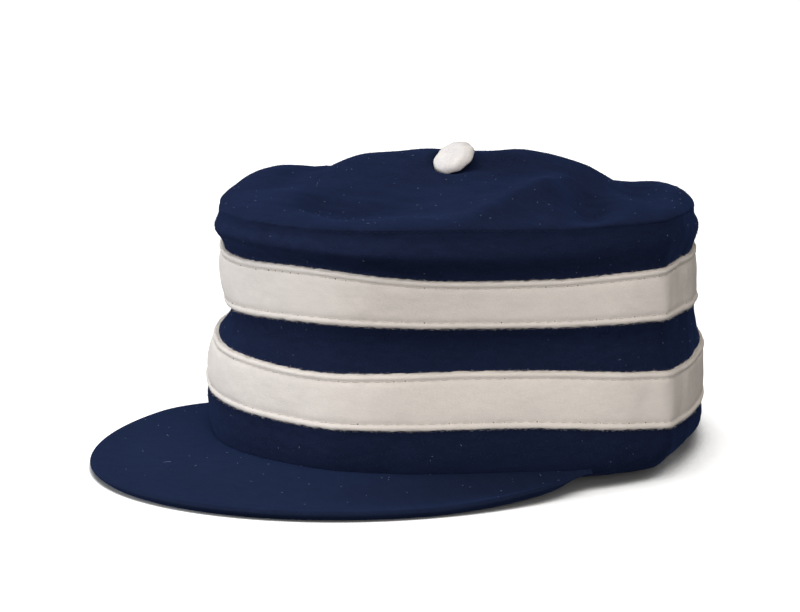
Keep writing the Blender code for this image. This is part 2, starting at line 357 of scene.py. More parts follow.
def top_point(angle, share, down=0.0):
    """The top panel's outer face, at a share of the way from its middle to its rim."""
    angle, share = np.broadcast_arrays(np.asarray(angle, float), np.asarray(share, float))
    radius = share * wall_radius(angle, SEAM)
    flat = place(angle, radius, 0 * radius)
    x, y = flat[..., 0], flat[..., 1]
    rim = line_height(angle, SEAM) + RIM_RISE
    folded = sum(top_fold(x, y, row) for row in TOP_FOLDS) * (1 - share**4)
    rolled = around(PUFF, 1, angle) * np.sqrt(1 - np.minimum(share, 1) ** ROLL_POWER)
    mixed = smooth_step(share)
    height = CENTRE_HEIGHT + (rim + rolled - CENTRE_HEIGHT) * mixed + folded
    right, back = x - BUTTON_AT[0], y - BUTTON_AT[1]
    seat = BUTTON_SEAT + right * SEAT_SLOPE[0] + back * SEAT_SLOPE[1]
    away = np.hypot(right, back)
    seated = 1 - smooth_step((away - SEAT_RADIUS) / (SEAT_BLEND - SEAT_RADIUS))
    height = height + (seat - height) * seated
    point = np.stack((x, y, height), -1)
    uneven = (0.25 * lumps(point, 17, 5) + 0.08 * lumps(point, 5, 6)) * (1 - share**8)
    point[..., 2] += uneven - down
    return point


def seam_depth(angle):
    low, high = SEAM_DEPTHS
    start, over = SEAM_DEEPENS
    return low + (high - low) * smooth_step((np.abs(apart(angle, 0)) - start) / over)


# ---------------------------------------------------------------- making meshes


def finish_mesh(name, vertices, faces, look):
    """An object from points in millimetres, standing where the crown stands."""
    mesh = bpy.data.meshes.new(name)
    moved = (np.asarray(vertices, float) + (*CROWN_AT, 0.0)) * MM
    moved[:, 2] = np.maximum(moved[:, 2], 0.0)
    mesh.from_pydata(moved, [], faces)
    bm = bmesh.new()
    bm.from_mesh(mesh)
    bmesh.ops.recalc_face_normals(bm, faces=bm.faces[:])
    bm.to_mesh(mesh)
    bm.free()
    mesh.shade_smooth()
    mesh.materials.append(look)
    piece = bpy.data.objects.new(name, mesh)
    bpy.context.scene.collection.objects.link(piece)
    return piece


def skin(name, rows, look, round_columns=True, round_rows=False, capped=False):
    """A mesh through rows of points, closed round its columns, its rows, or by end caps."""
    grid = np.asarray(rows)
    count, width = grid.shape[:2]
    number = np.arange(count * width).reshape(count, width)
    if round_columns:
        number = np.concatenate((number, number[:, :1]), 1)
    if round_rows:
        number = np.concatenate((number, number[:1]), 0)
    quads = np.stack((number[:-1, :-1], number[:-1, 1:], number[1:, 1:], number[1:, :-1]), -1)
    faces = quads.reshape(-1, 4).tolist()
    vertices = grid.reshape(-1, 3)
    if capped and round_columns:
        for row in (0, count - 1):
            middle = len(vertices)
            vertices = np.concatenate((vertices, grid[row].mean(0)[None]))
            ring = number[row]
            faces += [[ring[i], ring[i + 1], middle] for i in range(width)]
    elif capped:
        for column in (0, width - 1):
            faces.append(number[:count, column].tolist())
    return finish_mesh(name, vertices, faces, look)


def strands(name, paths, outs, radii, sides, look):
    """Many short threads as thin tubes: paths and the ways out of the cloth, (strand, point, 3)."""
    ways = np.gradient(paths, axis=1)
    ways /= np.linalg.norm(ways, axis=-1, keepdims=True)
    across = np.cross(ways, outs)
    across /= np.linalg.norm(across, axis=-1, keepdims=True) + 1e-9
    lifted = np.cross(across, ways)
    turns = np.arange(sides) / sides * 2 * math.pi
    ring = (
        across[:, :, None] * np.cos(turns)[None, None, :, None]
        + lifted[:, :, None] * np.sin(turns)[None, None, :, None]
    )
    points = paths[:, :, None] + ring * radii[:, :, None, None]
    many, length = paths.shape[:2]
    number = np.arange(many * length * sides).reshape(many, length, sides)
    closed = np.concatenate((number, number[:, :, :1]), 2)
    quads = np.stack(
        (closed[:, :-1, :-1], closed[:, :-1, 1:], closed[:, 1:, 1:], closed[:, 1:, :-1]), -1
    )
    faces = quads.reshape(-1, 4).tolist()
    faces += number[:, 0].tolist() + number[:, -1].tolist()
    return finish_mesh(name, points.reshape(-1, 3), faces, look)


def angles_round(step):
    """Angles round the crown, closer together at the seam up the back."""
    plain = np.arange(-180 + step, 180, step)
    plain = plain[np.abs(apart(plain, BACK)) > FINE_TURNS[-1] + 0.2]
    near = (BACK + np.array(FINE_TURNS) + 180) % 360 - 180
    return np.sort(np.concatenate((plain, near)))


def back_seam(angle):
    """The seam up the back: a groove between two low swells."""
    away = apart(angle, BACK)
    return -0.9 * bell(away / 0.45) + 0.25 * bell((np.abs(away) - 1.6) / 0.8)


# ---------------------------------------------------------------- materials


def add_node(tree, kind, settings=None, links=None):
    """A node with its settings, by attribute or socket, and what feeds its sockets."""
    made = tree.nodes.new(kind)
    for name, value in (settings or {}).items():
        if hasattr(made, str(name)):
            setattr(made, name, value)
        else:
            made.inputs[name].default_value = value
    for name, source in (links or {}).items():
        tree.links.new(source, made.inputs[name])
    return made


def wool(name, ground, deep, pale, fibre, streak, sheen, glow, bump=0.35):
    """Fulled wool flannel: woven, then felted and brushed, so short fibres blur the weave.

    fibre is the width of its fibre clumps in millimetres; streak stretches them along the cloth.
    The pile scatters light, so it is rough with next to no shine, and its tips catch a faint glow.
    """
    look = bpy.data.materials.new(name)
    look.use_nodes = True
    tree = look.node_tree
    tree.nodes.clear()
    where = add_node(tree, "ShaderNodeTexCoord").outputs["Object"]
    stretched = add_node(
        tree, "ShaderNodeMapping", {"Scale": streak}, {"Vector": where}
    ).outputs["Vector"]
    fine = add_node(
        tree,
        "ShaderNodeTexNoise",
        {"Scale": 1 / (fibre * MM), "Detail": 5.0, "Roughness": 0.65},
        {"Vector": stretched},
    )
    clumps = add_node(
        tree,
        "ShaderNodeTexNoise",
        {"Scale": 1 / (7 * fibre * MM), "Detail": 3.0, "Roughness": 0.55},
        {"Vector": stretched},
    )
    worn = add_node(
        tree, "ShaderNodeTexNoise", {"Scale": 1 / (38 * MM), "Detail": 2.0}, {"Vector": where}
    )
    mottled = add_node(
        tree,
        "ShaderNodeMath",
        {"operation": "MULTIPLY_ADD", 1: 0.55},
        {0: clumps.outputs["Fac"], 2: fine.outputs["Fac"]},
    )
    spread = add_node(
        tree,
        "ShaderNodeMapRange",
        {"From Min": 0.55, "From Max": 1.0, "To Min": 0.0, "To Max": 1.0},
        {"Value": mottled.outputs["Value"]},
    )
    tint = add_node(
        tree,
        "ShaderNodeMix",
        {"data_type": "RGBA", 6: (*deep, 1), 7: (*pale, 1)},
        {0: spread.outputs["Result"]},
    )
    faded = add_node(
        tree,
        "ShaderNodeMapRange",
        {"From Min": 0.3, "From Max": 0.7, "To Min": 0.0, "To Max": 0.5},
        {"Value": worn.outputs["Fac"]},
    )
    colour = add_node(
        tree,
        "ShaderNodeMix",
        {"data_type": "RGBA", 7: (*ground, 1)},
        {0: faded.outputs["Result"], 6: tint.outputs[2]},
    )
    raised = add_node(
        tree,
        "ShaderNodeBump",
        {"Strength": bump, "Distance": 0.25 * MM},
        {"Height": mottled.outputs["Value"]},
    )
    shader = add_node(
        tree,
        "ShaderNodeBsdfPrincipled",
        {
            "Roughness": 0.95,
            "IOR": 1.5,
            "Specular IOR Level": 0.02,
            "Sheen Weight": sheen,
            "Sheen Roughness": 0.4,
            "Sheen Tint": (*glow, 1),
        },
        {"Base Color": colour.outputs[2], "Normal": raised.outputs["Normal"]},
    )
    add_node(tree, "ShaderNodeOutputMaterial", {}, {"Surface": shader.outputs["BSDF"]})
    return look


FLUFF_ROUGHNESS = 0.95


def plain_thread(name, colour, roughness=0.75):
    """Spun thread or a loose fibre: too fine for its twist to show, so only its shade varies."""
    look = bpy.data.materials.new(name)
    look.use_nodes = True
    tree = look.node_tree
    shader = tree.nodes["Principled BSDF"]
    where = add_node(tree, "ShaderNodeTexCoord").outputs["Object"]
    noise = add_node(tree, "ShaderNodeTexNoise", {"Scale": 1 / (0.8 * MM)}, {"Vector": where})
    dark = tuple(c * 0.7 for c in colour)
    tint = add_node(
        tree,
        "ShaderNodeMix",
        {"data_type": "RGBA", 6: (*dark, 1), 7: (*colour, 1)},
        {0: noise.outputs["Fac"]},
    )
    tree.links.new(tint.outputs[2], shader.inputs["Base Color"])
    shader.inputs["Roughness"].default_value = roughness
    shader.inputs["Specular IOR Level"].default_value = 0.1
    return look


def shade(colour, by):
    return tuple(part * by for part in colour)


def looks():
    """The cap's materials, made once and kept by name."""
    colours = bpy.context.scene.cap_colours
    if "navy_wool_wall" in bpy.data.materials:
        return bpy.data.materials
    navy, cream = colours.navy[:], colours.cream[:]
    brim, button = colours.visor[:], colours.button[:]
    deep, light = shade(navy, 0.72), shade(navy, 1.38)
    pale = shade(cream, 1.04)
    glow = linear("6F9BFF")  # light caught by the navy fibres' tips
    # Wool flannel, woven, fulled and brushed: deep, matt and softly mottled. On the wall its
    # fibres run round the crown, so they streak level; on the top they run from front to back.
    wool("navy_wool_wall", navy, deep, light, 0.8, (1, 1, 3.2), 0.05, glow)
    wool("navy_wool_top", navy, deep, light, 0.8, (0.6, 1.6, 1), 0.05, glow)
    # The same flannel, pressed flat over a stiff board: finer and more even.
    wool("navy_visor_wool", brim, shade(brim, 0.8), shade(brim, 1.25), 0.7, (0.8, 1.2, 1), 0.05, glow)
    # Flannel of undyed wool: warm off-white, with more of its clumps in relief.
    wool("cream_wool_stripe", cream, shade(cream, 0.86), pale, 0.8, (1, 1, 3), 0.05, pale, 0.5)
    # The same, stretched tight over a button, so that its colour hardly varies.
    wool("cream_wool_button", button, shade(button, 0.95), pale, 0.7, (1, 1, 1), 0.05, pale)
    # Spun cotton sewing threads, matt with a faint shine; the dark one at the needle holes is painted
    # shade of the holes.
    plain_thread("cream_thread", shade(cream, 0.97))
    plain_thread("navy_thread", shade(navy, 1.1))
    plain_thread("needle_hole_painted_shade", colours.hole_shade_colour[:])
    # Loose wool fibres, which light passes round: they look paler than the cloth under them, so the
    # fluff is painted paler than its cloth, the navy three times over, as painted light. The lint is
    # pale in its own colour.
    plain_thread("cream_fluff", shade(cream, 1.05), FLUFF_ROUGHNESS)
    plain_thread("navy_fluff_painted_pale", shade(navy, 3.0), FLUFF_ROUGHNESS)
    plain_thread("pale_lint", linear("8590AC"), FLUFF_ROUGHNESS)
    return bpy.data.materials


# ---------------------------------------------------------------- pieces


def make_wall(sizes):
    thick = sizes.cloth / MM
    angle = angles_round(0.75)
    groove = back_seam(angle)
    rows = []
    half = thick / 2
    # the hem's fold, from its lowest line outwards and up
    for turn in np.radians(np.linspace(90, 0, 7)):
        out = groove - half + half * math.cos(turn)
        rows.append(wall_point(angle, 0 * angle, out, half - half * math.sin(turn)))
    for level in np.linspace(0.09, 4.985, 74):
        rows.append(wall_point(angle, np.full_like(angle, level), groove))
    # the top edge turns in to the sewn line
    start = SEWN_AT - SEAM_LIP
    for turn in np.radians(np.linspace(0, 90, 7)):
        out = groove * 0.6 - seam_depth(angle) * (1 - math.cos(turn))
        up = start + SEAM_LIP * math.sin(turn)
        rows.append(wall_point(angle, np.full_like(angle, SEAM), out, up))
    rows.append(wall_point(angle, np.full_like(angle, SEAM), -thick, SEWN_AT))
    for level in np.linspace(4.9, 0.78, 30):
        rows.append(wall_point(angle, np.full_like(angle, level), -thick))
    # a turned-up hem makes the lower edge thicker inside
    turned = thick + sizes.hem_turn_up / MM
    for level in HEM_TURN_LEVELS:
        rows.append(wall_point(angle, np.full_like(angle, level), -turned))
    for turn in np.radians(np.linspace(180, 100, 5)):
        out = -turned / 2 + turned / 2 * math.cos(turn)
        rows.append(wall_point(angle, 0 * angle, out, half - half * math.sin(turn)))
    return skin("crown_wall_wool", rows, looks()["navy_wool_wall"], round_rows=True)


def make_top(sizes):
    thick = sizes.cloth / MM
    angle = angles_round(0.75)
    shares = np.concatenate((np.linspace(0.01, 0.9, 74), 1 - np.geomspace(0.095, 0.0004, 22), [1.0]))
    rows = []
    for share in shares:
        point = top_point(angle, share)
        rows.append(point + smooth_step((share - 0.9) * 10) * wall_unevenness(point, angle))
    rim = wall_radius(angle, SEAM)
    height = line_height(angle, SEAM)
    for turn in np.radians(np.linspace(15, 90, 6)):
        out = -seam_depth(angle) * (1 - math.cos(turn))
        up = RIM_RISE - (RIM_RISE - SEWN_AT) * math.sin(turn)
        rows.append(wall_point(angle, np.full_like(angle, SEAM), out, up))
    rows.append(place(angle, rim - thick, height + SEWN_AT))
    for share in np.linspace(0.965, 0.012, 40):
        rows.append(top_point(angle, share, down=thick))
    return skin("crown_top_wool", rows, looks()["navy_wool_top"], capped=True)


def run_length(angle, level):
    """Millimetres along the wall from the back, at each angle."""
    points = place(angle, wall_radius(angle, level), 0 * angle)
    return np.concatenate(([0], np.cumsum(np.linalg.norm(np.diff(points, axis=0), axis=1))))


def make_stripe(sizes, name, low):
    angle = angles_round(0.5)
    height = line_height(angle, low + 1) - line_height(angle, low)
    thick = sizes.stripe / MM
    stitch = sizes.stitch / MM
    run = run_length(angle, low + 0.5)
    rows = [wall_point(angle, np.full_like(angle, low + 0.001), -STRIPE_TUCK)]
    joint = -STRIPE_JOINT * bell(apart(angle, BACK) / 0.4)

    def row(distance, from_top):
        share = distance / height
        level = low + (1 - share if from_top else share)
        body = along(STRIPE_SECTION, 1, np.full_like(angle, distance)) * thick / STRIPE_MIDDLE
        # each stitch pulls the furrow in, and the edge beside it a little
        pulled = 0.16 * bell((distance - FURROW) / 0.45) * np.cos(2 * math.pi * run / stitch)
        swell = 0.06 * bell((distance - 1.1) / 0.7) * np.cos(2 * math.pi * run / stitch)
        frayed = 0.10 * bell(distance / 0.8)
        point = wall_point(angle, level, body - pulled - swell + joint)
        point[..., 2] += frayed * lumps(point * (1, 1, 0.2), 0.9, 11 + low)
        return point

    rows += [row(distance, False) for distance in STRIPE_ROWS]
    rows += [row(distance, True) for distance in STRIPE_ROWS[::-1]]
    rows.append(wall_point(angle, np.full_like(angle, low + 0.999), -STRIPE_TUCK))
    return skin(name, rows, looks()["cream_wool_stripe"], round_rows=True)


def even_angles(level, spacing):
    """Angles whose places on the wall are this far apart."""
    angle = np.linspace(-180, 180, 2000)
    run = run_length(angle, level)
    count = int(run[-1] / spacing)
    return np.interp(np.arange(count) * run[-1] / count, run, angle), run[-1] / count


def make_stripe_stitches(sizes):
    """Thread that lies in each furrow between two needle holes."""
    thread = sizes.thread / MM
    paths, outs, thicks = [], [], []
    t = np.linspace(0, 1, 6)
    dip = -STITCH_DIP * (1 - np.sin(math.pi * np.clip(t, 0.0, 1.0)) ** 0.5)
    from_hole, own = STITCH_SPAN
    for low in (LOWER_LOW, UPPER_LOW):
        starts, spacing = even_angles(low + 0.5, sizes.stitch / MM)
        for from_top in (False, True):
            for start in starts:
                step = (spacing / CROWN_RADIUS) * 180 / math.pi
                angle = start + step * (from_hole + own * t)
                height = line_height(angle, low + 1) - line_height(angle, low)
                level = low + (1 - FURROW / height if from_top else FURROW / height)
                out = FURROW_THICK * sizes.stripe / MM / STRIPE_MIDDLE + STITCH_STAND + dip
                paths.append(wall_point(angle, level, out))
                outs.append(outward(angle))
                thicks.append(np.full(6, thread / 2) * (0.75 + 0.25 * np.sin(math.pi * t)))
    look = looks()["cream_thread"]
    return strands("stripe_stitches", np.array(paths), np.array(outs), np.array(thicks), 6, look)


def make_needle_holes(sizes):
    """Painted shade at some of the needle holes: short dark specks where the holes' shadow falls."""
    rng = np.random.default_rng(SEED)
    paths, outs, thicks = [], [], []
    for low in (LOWER_LOW, UPPER_LOW):
        starts, _ = even_angles(low + 0.5, sizes.stitch / MM)
        for from_top in (False, True):
            for start in starts:
                size = rng.uniform(0.05, 0.2) if rng.random() < 0.8 else rng.uniform(0.2, 0.32)
                height = line_height(start, low + 1) - line_height(start, low)
                distance = FURROW + rng.normal() * 0.1
                level = low + (1 - distance / height if from_top else distance / height)
                angle = start + np.linspace(-1, 1, 4) * 0.16
                out = HOLE_STAND + 0.1 * np.array([0, 1, 1, 0])
                paths.append(wall_point(angle, np.full(4, level), out))
                outs.append(outward(angle))
                thicks.append(size * np.array([0.4, 1, 1, 0.4]))
    look = looks()["needle_hole_painted_shade"]
    return strands("stripe_needle_holes", np.array(paths), np.array(outs), np.array(thicks), 6, look)


def make_seam_stitches(sizes):
    """Stitches that show in the pulled seam between the wall and the top."""
    thread = sizes.thread / MM * 0.8
    starts, _ = even_angles(SEAM, SEAM_STITCH)
    t = np.linspace(-1, 1, 5)
    paths, outs = [], []
    for start in starts:
        angle = start + 0.5 * t
        shown = bell((start - SEAM_SHOWS[0]) / SEAM_SHOWS[1])
        out = thread * 0.4 * shown - 0.25 * (1 - shown) - 0.2 * t**4 - seam_depth(angle)
        paths.append(wall_point(angle, np.full_like(angle, SEAM), out, SEWN_AT + 0.1 * t))
        outs.append(outward(angle))
    thicks = np.full((len(paths), 5), thread / 2)
    return strands("seam_stitches", np.array(paths), np.array(outs), thicks, 6, looks()["navy_thread"])


def visor_inner(angle):
    return wall_radius(angle, 0.2 + 0 * angle) - 0.5


def visor_radius(angle):
    """Distance to the visor's outer edge: an ellipse, with a rounded tip at each end."""
    sine, cosine = np.sin(np.radians(angle)), np.cos(np.radians(angle))
    a = (sine / VISOR_HALF_WIDTH) ** 2 + (cosine / VISOR_REACH) ** 2
    b = -2 * VISOR_CENTRE * cosine / VISOR_REACH**2
    c = (VISOR_CENTRE / VISOR_REACH) ** 2 - 1
    edge = (-b + np.sqrt(b * b - 4 * a * c)) / (2 * a)
    at, out, spread = VISOR_BULGE
    edge = edge + out * bell((angle - at) / spread)
    inner = visor_inner(angle)
    tip = np.where(angle < 0, -VISOR_TIPS[0], VISOR_TIPS[1])
    end = np.clip((np.abs(angle) - tip + VISOR_ROUND) / VISOR_ROUND, 0, 1)
    width = (edge - inner) * np.sqrt(np.maximum(0.0, 1 - end * end))
    return inner + np.maximum(width, VISOR_TIP_WIDTH)


def visor_rows(sizes):
    """The visor's skin: its upper face outwards, round its edge, and its lower face back."""
    thick = sizes.visor / MM
    half = thick / 2
    turns = np.linspace(-1, 1, 241)
    tip = np.where(turns < 0, -VISOR_TIPS[0], VISOR_TIPS[1])
    angle = tip * np.sign(turns) * (1 - (1 - np.abs(turns)) ** 1.35)
    inner, outer = visor_inner(angle), visor_radius(angle)
    raised = line_height(angle, HEM)
    lying = 1 - VISOR_LIFT * smooth_step((angle - VISOR_LIFT_FROM) / VISOR_LIFT_OVER)
    rounding = np.minimum(half, (outer - inner) / 2)
    thin = 0.25 + 0.75 * smooth_step(np.minimum(angle - VISOR_TIPS[0], VISOR_TIPS[1] - angle) / 9)
    rows = []

    def row(radius, up):
        share = np.clip((radius - inner) / (outer - inner), 0, 1)
        fall = smooth_step(share / VISOR_FLAT) * lying
        point = place(angle, radius, half + raised * (1 - fall))
        wave = 0.18 * lumps(point, 26, 21) * smooth_step(share * 3)
        point[..., 2] += half + (up - half) * thin + wave * (1 - smooth_step((share - 0.75) * 4))
        return point

    for share in np.linspace(0, 1, VISOR_UPPER_ROWS):
        rows.append(row(inner + (outer - rounding - inner) * share, half))
    for turn in np.radians(np.linspace(82, -82, 13)):
        under = VISOR_UNDERCUT * rounding / half * smooth_step(0.35 - 0.75 * math.sin(turn))
        rows.append(row(outer - rounding + rounding * math.cos(turn) - under, half * math.sin(turn)))
    last = VISOR_UNDERCUT * rounding / half
    for share in np.linspace(1, 0, 24):
        rows.append(row(inner + (outer - rounding - last - inner) * share, -half))
    return rows


def make_visor(sizes):
    rows, look = visor_rows(sizes), looks()["navy_visor_wool"]
    return skin("visor_wool", rows, look, round_columns=False, round_rows=True, capped=True)


def button_matrix():
    lean = Matrix.Rotation(math.radians(-BUTTON_LEAN), 4, "Y")
    turned = lean @ Matrix.Rotation(math.radians(BUTTON_TILT), 4, "X")
    spot = Vector((*BUTTON_AT, BUTTON_SEAT)) + turned.to_3x3() @ Vector((0, 0, BUTTON_LIFT))
    return Matrix.Translation(spot) @ turned


def make_button(sizes):
    radius, rise = sizes.button_radius / MM, sizes.button_rise / MM
    angle = np.radians(np.arange(0, 360, 2.5))
    rows = []

    def ring(at, height):
        gathered = 1 + 0.012 * np.cos(9 * angle + 1.0) * smooth_step((at / radius - 0.6) * 3)
        across, along_it = at * gathered * np.cos(angle), at * gathered * np.sin(angle)
        return np.stack((across, along_it, height + 0 * angle), -1)

    # a domed face that turns down steeply at the rim, then under to a flat back
    for turn in np.radians(np.linspace(2, 90, 26)):
        across = radius * math.sin(turn) ** 0.9
        rows.append(ring(across, 1.3 + (rise - 1.3) * math.cos(turn) ** 0.8))
    for turn in np.radians(np.linspace(12, 90, 7)):
        rows.append(ring(radius - 1.6 * (1 - math.cos(turn)), 1.3 - 1.3 * math.sin(turn)))
    rows.append(ring(radius * 0.4, -0.2))
    grid = np.array(rows)
    matrix = button_matrix()
    turned = np.array(matrix.to_3x3())
    placed = grid @ turned.T + np.array(matrix.translation)
    placed[..., :] += 0.12 * lumps(placed, 3.2, 31)[..., None] * turned[:, 2]
    return skin("button_wool", placed, looks()["cream_wool_button"], capped=True)


def fluff(rng, points, normals, tangents, length, thick, lift):
    """Paths of short curved fibres that lie on a surface and stray a little from it."""
    many = len(points)
    other = np.cross(normals, tangents)
    spin = rng.uniform(0, 2 * math.pi, many)[:, None]
    way = tangents * np.cos(spin) + other * np.sin(spin)
    bend = rng.normal(size=(many, 1)) * 0.5
    reach = length * rng.uniform(0.5, 1.5, (many, 1))
    t = np.linspace(0, 1, 4)[None, :, None]
    side = np.cross(way, normals)
    rise = lift * rng.uniform(0.2, 1.6, (many, 1))
    paths = (
        points[:, None]
        + way[:, None] * reach[:, None] * t
        + side[:, None] * (bend * reach)[:, None] * t**2
        + normals[:, None] * rise[:, None] * np.sin(t * 2.4)
    )
    outs = np.repeat(normals[:, None], 4, 1)
    radii = thick / 2 * np.repeat(np.linspace(1, 0.35, 4)[None], many, 0)
    return paths, outs, radii


# How fluff grows: length, thickness and how far it lifts off the cloth.
NAP = (1.3, 0.07, 0.16)
LINT = (0.4, 0.14, 0.14)
EDGE_FLUFF = ((0.55, 0.055, 0.3), (0.8, 0.07, 0.3))  # at a stripe's lower and upper edge
# How much of it there is: on bands of the wall from level to level, and elsewhere.
NAP_BANDS = ((0.05, 0.98, 2400), (2.02, 2.98, 2000), (4.02, 4.98, 2000))
NAP_ON_TOP = 3200
LINT_BANDS = ((0.15, 0.9, 40), (2.1, 2.9, 40), (4.1, 4.9, 40))
LINT_ON_TOP, LINT_ON_VISOR = 150, 45
FLUFF_PER_EDGE = 2200
# Longer hairs on the visor: share of the way out, share of the way round, length in mm.
VISOR_HAIRS = ((0.48, 0.42, 4.0), (0.3, 0.86, 1.6))


def wall_ways(angle):
    """The ways out of the wall and along it."""
    return outward(angle), outward(angle + 90)


def fibres(name, batches, sides, look):
    """One piece from several batches of fluff."""
    return strands(name, *(np.concatenate(part) for part in zip(*batches)), sides, looks()[look])


def top_places(angle, share):
    """Points on the top panel, with the ways out of it and along it."""
    points = top_point(angle, share)
    ahead = top_point(angle + 0.2, share) - points
    outer = top_point(angle, share + 0.004) - points
    normal = np.cross(ahead, outer)
    normal *= np.sign(normal[:, 2:3]) / np.linalg.norm(normal, axis=-1, keepdims=True)
    ahead /= np.linalg.norm(ahead, axis=-1, keepdims=True)
    return points, normal, ahead


def make_edge_fluff():
    """Fibres that stray from the stripes' turned edges."""
    rng = np.random.default_rng(SEED + 1)
    per_edge = FLUFF_PER_EDGE
    batches = []
    for low in (LOWER_LOW, UPPER_LOW):
        for top in (0, 1):
            angle = rng.uniform(-180, 180, per_edge)
            level = np.full(per_edge, low + (0.004 if top == 0 else 0.996))
            points = wall_point(angle, level, rng.uniform(0.1, 1.1, per_edge))
            out, side = wall_ways(angle)
            away = out * 0.5 + np.array([0, 0, 1.0 if top else -1.0])
            away /= np.linalg.norm(away, axis=-1, keepdims=True)
            batches.append(fluff(rng, points, away, side, *EDGE_FLUFF[top]))
    return fibres("stripe_edge_fluff", batches, 3, "cream_fluff")


def make_nap():
    """Short navy fibres of the brushed cloth, on the wall and the top."""
    rng = np.random.default_rng(SEED + 2)
    batches = []
    for low, high, many in NAP_BANDS:
        angle = rng.uniform(-180, 180, many)
        points = wall_point(angle, rng.uniform(low, high, many), 0.0)
        batches.append(fluff(rng, points, *wall_ways(angle), *NAP))
    angle = rng.uniform(-180, 180, NAP_ON_TOP)
    share = np.sqrt(rng.uniform(0.01, 0.98, NAP_ON_TOP))
    batches.append(fluff(rng, *top_places(angle, share), *NAP))
    return fibres("wool_nap", batches, 3, "navy_fluff_painted_pale")


def make_lint(sizes):
    """Pale specks caught in the nap, and a few longer hairs on the visor."""
    rng = np.random.default_rng(SEED + 3)
    angle = rng.uniform(-180, 180, LINT_ON_TOP)
    share = np.sqrt(rng.uniform(0.02, 0.97, LINT_ON_TOP))
    batches = [fluff(rng, *top_places(angle, share), 0.4, 0.16, 0.14)]
    for low, high, many in LINT_BANDS:
        angle = rng.uniform(-180, 180, many)
        points = wall_point(angle, rng.uniform(low, high, many), 0.0)
        batches.append(fluff(rng, points, *wall_ways(angle), *LINT))
    upper = np.array(visor_rows(sizes)[:VISOR_UPPER_ROWS])
    rows, columns = upper.shape[:2]
    many = LINT_ON_VISOR
    up, across = np.array([[0.0, 0.0, 1.0]]), np.array([[1.0, 0.0, 0.0]])
    points = upper[rng.integers(3, rows - 2, many), rng.integers(20, columns - 20, many)]
    batches.append(fluff(rng, points, np.repeat(up, many, 0), np.repeat(across, many, 0), *LINT))
    for out, along_it, length in VISOR_HAIRS:
        point = upper[int(out * rows), int(along_it * columns)][None]
        batches.append(fluff(rng, point, up, across, length, 0.16, 0.3))
    return fibres("pale_lint", batches, 4, "pale_lint")


# ---------------------------------------------------------------- properties


class CapSizes(bpy.types.PropertyGroup):
    cloth: FloatProperty(
        name="Cloth", description="Thickness of the flannel with its backing",
        default=0.002, unit="LENGTH",
    )
    hem_turn_up: FloatProperty(
        name="Hem turn-up", description="What the turned-up hem adds inside",
        default=0.0007, unit="LENGTH",
    )
    stripe: FloatProperty(
        name="Stripe", description="Thickness of a stripe at its middle",
        default=0.00125, unit="LENGTH",
    )
    stitch: FloatProperty(
        name="Stitch", description="Spacing of the stitches along the stripes",
        default=0.0036, unit="LENGTH",
    )
    thread: FloatProperty(
        name="Thread", description="Diameter of the sewing thread",
        default=0.00038, unit="LENGTH",
    )
    visor: FloatProperty(
        name="Visor", description="Thickness of the visor",
        default=0.0032, unit="LENGTH",
    )
    button_radius: FloatProperty(
        name="Button radius", description="Radius of the covered button",
        default=0.0076, unit="LENGTH",
    )
    button_rise: FloatProperty(
        name="Button rise", description="Height of the covered button",
        default=0.0046, unit="LENGTH",
    )


class CapColours(bpy.types.PropertyGroup):
    navy: FloatVectorProperty(
        name="Navy", description="Crown wool", subtype="COLOR", default=linear("151C31"),
    )
    visor: FloatVectorProperty(
        name="Visor", description="Visor wool", subtype="COLOR", default=linear("171F34"),
    )
    cream: FloatVectorProperty(
        name="Cream", description="Stripe wool", subtype="COLOR", default=linear("D8D0C8"),
    )
    button: FloatVectorProperty(
        name="Button", description="Button wool", subtype="COLOR", default=linear("C4C2C2"),
    )
    # colour of the painted shade at the needle holes
    hole_shade_colour: FloatVectorProperty(
        name="Hole shade", description="Dark thread at the needle holes", subtype="COLOR",
        default=linear("4A4745"),
    )


# ---------------------------------------------------------------- operators


def settle(piece, node):
    """Ties a piece to the cap's body and hides the imported part it stands for, if any."""
    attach(piece, "root")
    if node:
        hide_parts(node)


class CAP_OT_wall(bpy.types.Operator):
    """Side of the crown, from its folded hem to the seam with the top"""

    bl_idname = "cap.wall"
    bl_label = "Crown wall"

    def execute(self, context):
        settle(make_wall(context.scene.cap_sizes), "crown_wall")
        return {"FINISHED"}


class CAP_OT_top(bpy.types.Operator):
    """Puffed and dented round panel that closes the crown"""

    bl_idname = "cap.top"
    bl_label = "Crown top"

    def execute(self, context):
        settle(make_top(context.scene.cap_sizes), "crown_top")
        return {"FINISHED"}


class CAP_OT_stripes(bpy.types.Operator):
    """Cream flannel bands with turned and sewn edges"""

    bl_idname = "cap.stripes"
    bl_label = "Stripes"

    def execute(self, context):
        sizes = context.scene.cap_sizes
        settle(make_stripe(sizes, "stripe_lower_wool", LOWER_LOW), "stripe_lower")
        settle(make_stripe(sizes, "stripe_upper_wool", UPPER_LOW), "stripe_upper")
        return {"FINISHED"}


class CAP_OT_stitches(bpy.types.Operator):
    """Stitches and needle holes of the stripes, and stitches of the top seam"""

    bl_idname = "cap.stitches"
    bl_label = "Stitches"

    def execute(self, context):
        sizes = context.scene.cap_sizes
        settle(make_stripe_stitches(sizes), None)
        settle(make_needle_holes(sizes), None)
        settle(make_seam_stitches(sizes), None)
        return {"FINISHED"}


class CAP_OT_visor(bpy.types.Operator):
    """Short stiff visor with a rounded edge"""

    bl_idname = "cap.visor"
    bl_label = "Visor"

    def execute(self, context):
        settle(make_visor(context.scene.cap_sizes), "visor")
        return {"FINISHED"}


class CAP_OT_button(bpy.types.Operator):
    """Cloth-covered button on the middle of the top"""

    bl_idname = "cap.button"
    bl_label = "Button"

    def execute(self, context):
        settle(make_button(context.scene.cap_sizes), "top_button")
        return {"FINISHED"}


